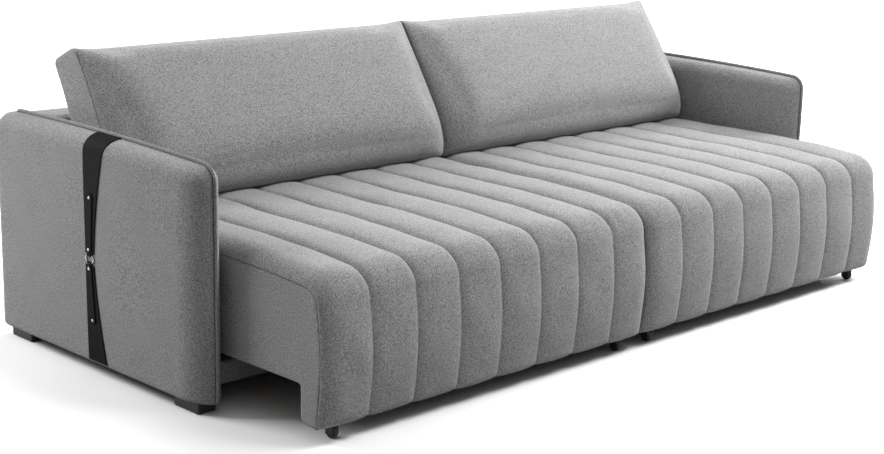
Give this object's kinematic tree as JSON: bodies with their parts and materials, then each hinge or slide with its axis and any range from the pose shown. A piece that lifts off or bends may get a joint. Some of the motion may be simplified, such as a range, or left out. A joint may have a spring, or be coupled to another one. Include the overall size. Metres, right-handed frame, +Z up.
{
  "type": "retractable sofa",
  "caption": "Low fabric sofa with slim strapped arms, channelled seats that slide out on casters and crowned back cushions that recline on ratchet hinges.",
  "frame": {"origin": "on the floor, in the middle of the sofa's outline with both seats pulled out", "axes": "+X along the sofa to the right as seen from the front, +Y to the back, +Z up"},
  "size_m": [2.5176, 1.295, 0.8077],
  "materials": {
    "fabric": "matte",
    "timber": "matte",
    "webbing": "matte",
    "leather": "satin",
    "black_plastic": "matte",
    "rubber": "matte",
    "black_steel": "satin",
    "chrome": "polished"
  },
  "bodies": {
    "base": {"low_back_cover": "fabric", "low_back_frame": "timber", "base_front_rail": "fabric", "base_middle_rail": "timber", "middle_foot": "black_plastic", "left_arm_cover": "fabric", "left_arm_frame": "timber", "left_front_foot": "black_plastic", "left_rear_foot": "black_plastic", "left_strap_upper": "leather", "left_strap_lower": "leather", "left_strap_ring": "chrome", "left_outer_slide_rail": "black_steel", "left_outer_hinge_fixed_arm": "black_steel", "left_inner_slide_rail": "black_steel", "left_inner_hinge_fixed_arm": "black_steel", "right_arm_cover": "fabric", "right_arm_frame": "timber", "right_front_foot": "black_plastic", "right_rear_foot": "black_plastic", "right_strap_upper": "leather", "right_strap_lower": "leather", "right_strap_ring": "chrome", "right_outer_slide_rail": "black_steel", "right_outer_hinge_fixed_arm": "black_steel", "right_inner_slide_rail": "black_steel", "right_inner_hinge_fixed_arm": "black_steel"},
    "left_seat": {"left_seat_cushion": "fabric", "left_seat_frame": "timber", "left_seat_webbing": "webbing", "left_outer_caster_fork": "black_steel", "left_outer_roller_bracket": "black_steel", "left_inner_caster_fork": "black_steel", "left_inner_roller_bracket": "black_steel"},
    "left_back": {"left_back_cushion": "fabric", "left_back_board": "timber", "left_outer_hinge_moving_arm": "black_steel", "left_inner_hinge_moving_arm": "black_steel"},
    "left_outer_caster_wheel": {"left_outer_caster_wheel": "rubber"},
    "left_inner_caster_wheel": {"left_inner_caster_wheel": "rubber"},
    "left_outer_roller": {"left_outer_roller": "black_plastic"},
    "left_inner_roller": {"left_inner_roller": "black_plastic"},
    "right_seat": {"right_seat_cushion": "fabric", "right_seat_frame": "timber", "right_seat_webbing": "webbing", "right_outer_caster_fork": "black_steel", "right_outer_roller_bracket": "black_steel", "right_inner_caster_fork": "black_steel", "right_inner_roller_bracket": "black_steel"},
    "right_back": {"right_back_cushion": "fabric", "right_back_board": "timber", "right_outer_hinge_moving_arm": "black_steel", "right_inner_hinge_moving_arm": "black_steel"},
    "right_outer_caster_wheel": {"right_outer_caster_wheel": "rubber"},
    "right_inner_caster_wheel": {"right_inner_caster_wheel": "rubber"},
    "right_outer_roller": {"right_outer_roller": "black_plastic"},
    "right_inner_roller": {"right_inner_roller": "black_plastic"}
  },
  "joints": [
    {"name": "left_seat_slide", "type": "slide", "parent": "base", "child": "left_seat", "axis": [0, 1, 0], "range_m": [0, 0.305]},
    {"name": "right_seat_slide", "type": "slide", "parent": "base", "child": "right_seat", "axis": [0, 1, 0], "range_m": [0, 0.305]},
    {"name": "left_back_recline", "type": "hinge", "parent": "base", "child": "left_back", "pos_m": [-0.579, 0.2775, 0.5121], "axis": [1, 0, 0], "range_deg": [-12, 0]},
    {"name": "right_back_recline", "type": "hinge", "parent": "base", "child": "right_back", "pos_m": [0.579, 0.2775, 0.5121], "axis": [1, 0, 0], "range_deg": [-12, 0]},
    {"name": "left_outer_caster_spin", "type": "hinge", "parent": "left_seat", "child": "left_outer_caster_wheel", "pos_m": [-1.09, -0.5765, 0.017], "axis": [1, 0, 0], "continuous": true},
    {"name": "left_inner_caster_spin", "type": "hinge", "parent": "left_seat", "child": "left_inner_caster_wheel", "pos_m": [-0.068, -0.5765, 0.017], "axis": [1, 0, 0], "continuous": true},
    {"name": "right_outer_caster_spin", "type": "hinge", "parent": "right_seat", "child": "right_outer_caster_wheel", "pos_m": [1.09, -0.5765, 0.017], "axis": [1, 0, 0], "continuous": true},
    {"name": "right_inner_caster_spin", "type": "hinge", "parent": "right_seat", "child": "right_inner_caster_wheel", "pos_m": [0.068, -0.5765, 0.017], "axis": [1, 0, 0], "continuous": true},
    {"name": "left_outer_roller_spin", "type": "hinge", "parent": "left_seat", "child": "left_outer_roller", "pos_m": [-1.1497, 0.2542, 0.0934], "axis": [1, 0, 0], "continuous": true},
    {"name": "left_inner_roller_spin", "type": "hinge", "parent": "left_seat", "child": "left_inner_roller", "pos_m": [-0.0313, 0.2542, 0.0934], "axis": [1, 0, 0], "continuous": true},
    {"name": "right_outer_roller_spin", "type": "hinge", "parent": "right_seat", "child": "right_outer_roller", "pos_m": [1.1497, 0.2542, 0.0934], "axis": [1, 0, 0], "continuous": true},
    {"name": "right_inner_roller_spin", "type": "hinge", "parent": "right_seat", "child": "right_inner_roller", "pos_m": [0.0313, 0.2542, 0.0934], "axis": [1, 0, 0], "continuous": true}
  ]
}
